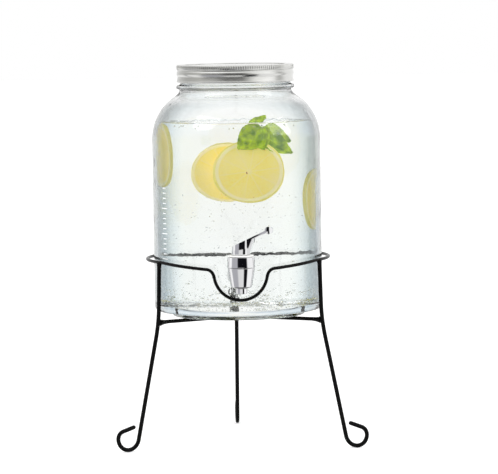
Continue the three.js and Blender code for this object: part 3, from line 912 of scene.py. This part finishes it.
def make_bonnet():
    """The bonnet, hollow below for the spring and bored for the stem."""
    low, high = bonnet_low, bonnet_high
    seat = low.z + BONNET_SEAT
    thread = 7.9 * MM
    pocket_top = high.z - 3.4 * MM
    profile = rounded([
        (SPRING_POCKET, low.z), (thread, low.z), (thread, seat), (13.7 * MM, seat),
        (13.1 * MM, high.z), (STEM_HOLE, high.z), (STEM_HOLE, pocket_top),
        (SPRING_POCKET, pocket_top), (SPRING_POCKET, low.z),
    ], 0.5 * MM, 5)
    made = lathe("bonnet_cap", profile[:-1], CHROME, 96, closed=True, centre=(0, SPIGOT_Y))
    return piece(made, "jar_body", "chrome", "bonnet")


def polygon_prism(name, outline, half_width, material):
    """An outline in the XZ plane, extruded along Y."""
    bm = bmesh.new()
    front = [bm.verts.new((x, -half_width, z)) for x, z in outline]
    back = [bm.verts.new((x, half_width, z)) for x, z in outline]
    bm.faces.new(front)
    bm.faces.new(list(reversed(back)))
    count = len(outline)
    for i in range(count):
        j = (i + 1) % count
        bm.faces.new((front[i], back[i], back[j], front[j]))
    return new_object(name, mesh_from(name, bm), material)


def make_lever():
    """A round hub with a thin rising blade and a round paddle, cut from its side and plan outlines."""
    hub, cam, top_z = 8.8 * MM, 3.5 * MM, 4.2 * MM
    rise, travel, lift = 25.5, math.radians(40), 4 * MM
    slope = math.tan(math.radians(rise))
    drop = 2.3 * MM / math.cos(math.radians(rise))
    gusset, tip_x, tip_r = 13.8 * MM, 28.2 * MM, 3.6 * MM

    def blade_top(x):
        return top_z + (x + hub) * slope

    growth = lift / travel
    side = [(-hub, -cam)]
    for i in range(11):
        tilt = travel * i / 10
        height = cam + growth * tilt
        side.append((
            height * math.sin(tilt) + growth * math.cos(tilt),
            -height * math.cos(tilt) + growth * math.sin(tilt),
        ))
    side.append((gusset, blade_top(gusset) - drop))
    side += arc(tip_x, blade_top(tip_x) - drop / 2 - 0.2 * MM, tip_r, rise - 160, rise + 160, 20)
    side.append((-hub, top_z))
    lever = polygon_prism("lever_handle", side, 12 * MM, CHROME)
    paddle = 6.4 * MM
    plan = arc(0, 0, hub, 40, 320, 48) + [(gusset, -4.6 * MM)]
    plan += arc(tip_x + tip_r - paddle, 0, paddle, -80, 80, 24) + [(gusset, 4.6 * MM)]
    cutter = polygon_prism("plan", plan, 40 * MM, CHROME)
    cutter.data.transform(Matrix.Rotation(math.pi / 2, 4, "X"))
    boolean(lever, cutter, "INTERSECT")
    reach = 3.5 * MM
    slot_points = [(-reach, 4 * MM), (-reach, -10 * MM), (10.2 * MM, -10 * MM), (reach, 4 * MM)]
    slot = polygon_prism("slot", slot_points, reach, CHROME)
    boolean(lever, slot, "DIFFERENCE")
    bevel = lever.modifiers.new("bevel", "BEVEL")
    bevel.width = 0.45 * MM
    bevel.segments = 3
    bevel.limit_method = "ANGLE"
    bevel.angle_limit = math.radians(40)
    apply_modifiers(lever)
    joint = next(j for j in frame["joints"] if j["name"] == "lever_tilt")
    axis = Vector(joint["axis"])
    yaw = math.atan2(-axis.x, axis.y)
    lever.data.transform(Matrix.Translation(Vector(joint["pos_m"])) @ Matrix.Rotation(yaw, 4, "Z"))
    shade_smooth(lever.data, 30)
    return piece(lever, "handle", "chrome", "lever")


def make_spring():
    """A fixed coil of wire in the spring's place, from its foot up to its head."""
    low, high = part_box("return_spring")
    wire, turns, steps = 0.5 * MM, 5, 36
    coil = (high.x - low.x) / 2 - wire
    foot, head = low.z + wire, high.z - wire
    points = []
    for i in range(turns * steps + 1):
        a = 2 * math.pi * i / steps
        place = i / (turns * steps)
        height = foot + (head - foot) * place
        points.append(Vector((coil * math.cos(a), SPIGOT_Y + coil * math.sin(a), height)))
    spring = tube("return_spring_coil", points, wire, STEEL, lambda point: UP, 12)
    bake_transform(spring)
    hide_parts("return_spring")


def finish_cad_nodes():
    """The nodes that stay as they are get their procedural materials."""
    looks = {
        "shank_nut": NYLON, "stem": STEEL, "seat_plug": SILICONE, "lever_pin": STEEL,
    }
    for name, material in looks.items():
        node = frame["nodes"][name]
        node.data.materials.clear()
        node.data.materials.append(material)


# ---- Contents ----

SLICE_R = 31 * MM
LEMON = lemon_material(SLICE_R)
MINT = mint_material()


def make_slice(name, x, y, z, tilt, turn, seed, size=1.0):
    """A slightly cupped lemon slice. x and y are from the jar's axis."""
    rng = random.Random(seed)
    radius, half = SLICE_R * size, 2.4 * MM
    profile = [(0, half)]
    for i in range(1, 15):
        profile.append((radius * 0.97 * i / 14, half))
    profile += [(radius * 0.995, half * 0.6), (radius, 0), (radius * 0.995, -half * 0.6)]
    for i in range(14, 0, -1):
        profile.append((radius * 0.97 * i / 14, -half))
    profile.append((0, -half))
    bm = lathe_bmesh(profile, 72)
    phase = rng.uniform(0, 6)
    for vert in bm.verts:
        away = math.hypot(vert.co.x, vert.co.y) / radius
        angle = math.atan2(vert.co.y, vert.co.x)
        vert.co.z += 1.6 * MM * away ** 2 * math.cos(2 * angle + phase)
        wobble = 1 + 0.012 * math.sin(3 * angle + phase) * away
        vert.co.x *= wobble
        vert.co.y *= wobble
    made = new_object(name, mesh_from(name, bm), LEMON, 50)
    spin = Matrix.Rotation(rng.uniform(0, 6), 4, "Z")
    stand_up = Matrix.Rotation(math.radians(90 + tilt), 4, "X")
    face = Matrix.Rotation(math.radians(turn), 4, "Z")
    made.matrix_world = Matrix.Translation((x, AXIS_Y + y, z)) @ face @ stand_up @ spin
    return piece(made, "jar_body", "glass")


def make_leaf(name, base, tip, width, curl, roll, seed):
    """A mint leaf from base to tip: a toothed outline, a midrib and raised veins."""
    rng = random.Random(seed)
    length = (tip - base).length
    rows, columns = 36, 14
    bm = bmesh.new()
    grid = []
    for i in range(rows + 1):
        t = i / rows
        half = width / 2 * math.sin(math.pi * min(1, t * 0.97 + 0.015) ** 0.85) ** 0.9
        half *= 1 + 0.06 * abs(math.sin(t * math.pi * 11))
        row = []
        for j in range(columns + 1):
            s = 2 * j / columns - 1
            vein = 0.35 * MM * abs(math.sin((t * 9 - abs(s) * 1.6) * math.pi)) * (1 - abs(s) * 0.5)
            rib = -0.8 * MM * math.exp(-(s / 0.12) ** 2)
            cup = curl * abs(s) ** 1.5 * width
            bend = -0.12 * length * math.sin(math.pi * t) + rng.uniform(-0.05, 0.05) * MM
            row.append(bm.verts.new((length * t, half * s, vein + rib + cup + bend)))
        grid.append(row)
    for i in range(rows):
        for j in range(columns):
            bm.faces.new((grid[i][j], grid[i + 1][j], grid[i + 1][j + 1], grid[i][j + 1]))
    leaf = new_object(name, mesh_from(name, bm), MINT, 60)
    thick = leaf.modifiers.new("thick", "SOLIDIFY")
    thick.thickness = 0.35 * MM
    apply_modifiers(leaf)
    direction = (tip - base).normalized()
    turn = direction.to_track_quat("X", "Z").to_matrix().to_4x4()
    leaf.data.transform(Matrix.Translation(base) @ turn @ Matrix.Rotation(math.radians(roll), 4, "X"))
    return piece(leaf, "jar_body", "glass")


def inside(x, y, z):
    """A point in the jar, in millimetres from its axis and above its base."""
    return Vector((x * MM, AXIS_Y + y * MM, BASE_Z + z * MM))


def make_contents():
    """Lemon slices in the drink, two of them against the wall, and mint leaves at its surface."""
    for name, x, y, z, tilt, turn, seed, size in (
        ("lemon_front", 9.5, -34, 145, -4, 4, 3, 1.0),
        ("lemon_behind", -9, -24, 144, 6, -8, 5, 0.95),
        ("lemon_left", -66.5, -13.5, 160, 2, -78.5, 7, 0.97),
        ("lemon_right", 66.5, -11, 115, 3, 80.5, 9, 0.98),
    ):
        make_slice(name, x * MM, y * MM, BASE_Z + z * MM, tilt, turn, seed, size)
    for name, base, tip, width, curl, roll, seed in (
        ("mint_leaf_1", (21, -42, 186), (1, -44, 167), 23, 0.18, 74, 11),
        ("mint_leaf_2", (19, -37, 186), (24, -43, 166), 19, 0.2, 62, 12),
        ("mint_leaf_3", (18, -34, 184), (45, -24, 161), 19, 0.22, 72, 13),
        ("mint_leaf_4", (22, -28, 184), (43, -18, 172), 17, 0.2, 58, 14),
        ("mint_leaf_5", (12, -34, 189), (29, -30, 197), 12, 0.3, 40, 15),
    ):
        make_leaf(name, inside(*base), inside(*tip), width * MM, curl, roll, seed)


def make_bubbles():
    """Small gas bubbles clinging inside the glass, thickest low down and on the base."""
    rng = random.Random(21)
    ball = bmesh.new()
    bmesh.ops.create_icosphere(ball, subdivisions=2, radius=1)
    corners = [vert.co.copy() for vert in ball.verts]
    sides = [[vert.index for vert in face.verts] for face in ball.faces]
    ball.free()
    verts, faces = [], []
    inner = JAR_R - WALL - 1.3 * MM
    kinds = ((620, 9, 27, 0.35, 0.9), (520, 27, 125, 0.25, 0.6), (60, 188, 191, 0.4, 1.0))
    for count, low, high, small, large in kinds:
        for _ in range(count):
            height = rng.uniform(low, high)
            size = rng.uniform(small, large) * MM
            angle = rng.uniform(0, 2 * math.pi)
            reach = inner * (1 if high > 150 or rng.random() < 0.55 else math.sqrt(rng.random()) * 0.9)
            reach -= MM * max(0, 15 - height) + (3 * MM if high > 150 else 0)
            centre = Vector((reach * math.cos(angle), AXIS_Y + reach * math.sin(angle), BASE_Z + height * MM))
            first = len(verts)
            verts += [centre + corner * size for corner in corners]
            faces += [[first + index for index in side] for side in sides]
    mesh = bpy.data.meshes.new("bubbles")
    mesh.from_pydata(verts, [], faces)
    made = new_object("bubbles", mesh, BUBBLE, 80)
    return piece(made, "jar_body", "glass")


# ---- Stage ----

def make_floor():
    """A white floor that no metal mirrors and no glass shows."""
    bm = bmesh.new()
    below = Matrix.Translation((0, 0, -0.2 * MM))
    bmesh.ops.create_circle(bm, cap_ends=True, segments=96, radius=14, matrix=below)
    material, shader = new_material("floor")
    graph = Graph(material)
    cloud = graph.noise(graph.coordinates(), 3.0)
    graph.link(graph.mix(cloud, (0.93, 0.93, 0.93, 1), (0.95, 0.95, 0.95, 1)), shader.inputs["Base Color"])
    shader.inputs["Roughness"].default_value = 0.9
    shader.inputs["Specular IOR Level"].default_value = 0.1
    shader.inputs["Emission Color"].default_value = (1, 1, 1, 1)
    shader.inputs["Emission Strength"].default_value = 0.3
    floor = new_object("floor", mesh_from("floor", bm), material)
    floor.visible_glossy = False
    floor.visible_transmission = False


def make_world():
    """A plain white studio."""
    world = bpy.data.worlds.new("studio")
    world.use_nodes = True
    bpy.context.scene.world = world
    graph = Graph(world)
    world.node_tree.nodes.clear()
    light = graph.node("Background")
    light.inputs["Color"].default_value = (1, 1, 1, 1)
    graph.link(light.outputs[0], graph.node("OutputWorld").inputs["Surface"])


def bearing_ramp(graph, share, stops):
    """Colours by bearing, in degrees from the front towards +X."""
    ramp = graph.node("ValToRGB")
    graph.link(share, ramp.inputs[0])
    fill_ramp(ramp, [((angle + 180) / 360, colour) for angle, colour in stops])
    return ramp.outputs[0]


def studio_drum(name, radius, low, high, first, *rows):
    """A wall round the object that glows in bands by bearing, and that only some light finds.

    Each later row is (height where it starts, height where it is full, its stops)."""
    material = bpy.data.materials.new(name)
    material.use_nodes = True
    material.node_tree.nodes.clear()
    graph = Graph(material)
    x, y, z = graph.split(graph.coordinates())
    bearing = graph.math("ARCTAN2", x, graph.math("MULTIPLY", y, -1.0))
    share = graph.spread(bearing, -math.pi, math.pi, 0.0, 1.0)
    colour = bearing_ramp(graph, share, first)
    for start, full, stops in rows:
        colour = graph.mix(graph.spread(z, start, full, 0.0, 1.0), colour, bearing_ramp(graph, share, stops))
    glow = graph.node("Emission")
    graph.link(colour, glow.inputs["Color"])
    graph.link(glow.outputs[0], graph.node("OutputMaterial").inputs["Surface"])
    bm = bmesh.new()
    bmesh.ops.create_cone(
        bm, segments=96, radius1=radius, radius2=radius, depth=high - low,
        matrix=Matrix.Translation((0, 0, (high + low) / 2)), cap_ends=True,
    )
    drum = new_object(name, mesh_from(name, bm), material, 80)
    drum.visible_camera = False
    drum.visible_diffuse = False
    drum.visible_shadow = False
    drum.visible_volume_scatter = False
    return drum


WHITE = (1.0, 1.0, 1.0)
BLACK = (0.006, 0.006, 0.008)
MID_GREY = (0.44, 0.44, 0.47)


def make_drums():
    """One drum for what polished metal mirrors, and one for what glass and water bend into view."""
    bonnet_row = (
        (-180, WHITE), (-120, WHITE), (-112, (0.25, 0.25, 0.27)), (-104, WHITE), (-76, WHITE),
        (-68, MID_GREY), (-28, MID_GREY), (-22, BLACK), (36, BLACK), (44, (0.95, 0.95, 0.95)), (100, WHITE),
        (108, (0.2, 0.2, 0.2)), (116, WHITE), (180, WHITE),
    )
    body_row = (
        (-180, WHITE), (-120, WHITE), (-112, (0.25, 0.25, 0.27)), (-104, WHITE), (-82, WHITE),
        (-74, MID_GREY), (-30, MID_GREY), (-22, (0.75, 0.75, 0.75)), (14, (0.8, 0.8, 0.8)), (20, BLACK),
        (42, BLACK),
        (48, WHITE), (100, WHITE), (108, (0.2, 0.2, 0.2)), (116, WHITE), (180, WHITE),
    )
    lid_row = (
        (-180, WHITE), (-110, (0.5, 0.5, 0.49)), (-72, (0.55, 0.55, 0.53)), (-60, (0.3, 0.3, 0.29)),
        (-20, (0.16, 0.16, 0.155)), (14, (0.2, 0.2, 0.195)), (34, (0.9, 0.9, 0.88)), (76, WHITE),
        (92, (0.4, 0.4, 0.39)), (112, WHITE), (180, WHITE),
    )
    under_row = ((-180, (0.16, 0.16, 0.16)), (180, (0.16, 0.16, 0.16)))
    sky_row = ((-180, WHITE), (180, WHITE))
    mirror = studio_drum(
        "mirror_drum", 0.6, -1.0, 1.2, under_row, (-0.6, -0.3, body_row), (0.135, 0.15, bonnet_row),
        (0.30, 0.32, lid_row), (0.6, 0.8, sky_row),
    )
    mirror.visible_transmission = False

    def backdrop(plain, side, edge):
        return (
            (-180, plain), (-158, plain), (-138, side), (-118, edge), (-96, edge), (-84, plain), (84, plain),
            (96, edge), (118, edge), (138, side), (158, plain), (180, plain),
        )

    cool = backdrop((0.98, 1.0, 1.0), (0.76, 0.85, 0.92), (0.56, 0.62, 0.67))
    warm = backdrop((0.98, 0.99, 0.95), (0.84, 0.88, 0.80), (0.62, 0.66, 0.64))
    bent = studio_drum("bent_drum", 2.4, -2.0, 3.0, cool, (0.02, 0.14, warm), (0.26, 0.34, sky_row))
    bent.visible_glossy = False


def make_lights():
    for name, place, size, power in (
        ("key", (-1.6, -1.2, 1.8), 1.4, 16),
        ("fill", (1.8, -0.8, 1.2), 1.2, 12),
    ):
        data = bpy.data.lights.new(name, "AREA")
        data.size = size
        data.energy = power
        lamp = bpy.data.objects.new(name, data)
        lamp.location = place
        direction = Vector((0, 0, 0.2)) - Vector(place)
        lamp.rotation_euler = direction.to_track_quat("-Z", "Y").to_euler()
        bpy.context.scene.collection.objects.link(lamp)


def make_camera():
    """A long lens from the front, a little above the jar's middle, and very slightly rolled."""
    distance, azimuth, camera_z = 3.1, math.radians(-1.5), 0.445
    aim = Vector((11.3 * MM, AXIS_Y, 0.205))
    data = bpy.data.cameras.new("camera")
    data.lens = 224.6
    data.sensor_width = 36
    data.clip_end = 60
    camera = bpy.data.objects.new("camera", data)
    camera.location = (distance * math.sin(azimuth), AXIS_Y - distance * math.cos(azimuth), camera_z)
    look = (aim - camera.location).to_track_quat("-Z", "Y")
    roll = Matrix.Rotation(math.radians(-0.9), 4, "Z").to_quaternion()
    camera.rotation_mode = "QUATERNION"
    camera.rotation_quaternion = look @ roll
    bpy.context.scene.collection.objects.link(camera)
    bpy.context.scene.camera = camera


make_camera()
make_world()
make_drums()
make_floor()
make_lights()
bpy.context.scene.view_settings.view_transform = "Standard"
bpy.context.scene.cycles.max_bounces = 24
bpy.context.scene.cycles.transmission_bounces = 24
bpy.context.scene.cycles.glossy_bounces = 8

make_jar()
make_scale()
make_water()
make_band()
make_disc()
make_ring_piece("gasket_ring", "lid_gasket", 52 * MM, SILICONE, "lid", "silicone")
make_ring_piece("cam_washer_ring", "cam_washer", STEM_HOLE, NYLON, "swivel", "nylon")
make_stand()
make_washer("outer_washer_ring", "outer_washer")
make_washer("inner_washer_ring", "inner_washer")
make_spigot_body()
make_bonnet()
make_lever()
make_spring()
finish_cad_nodes()
make_contents()
make_bubbles()
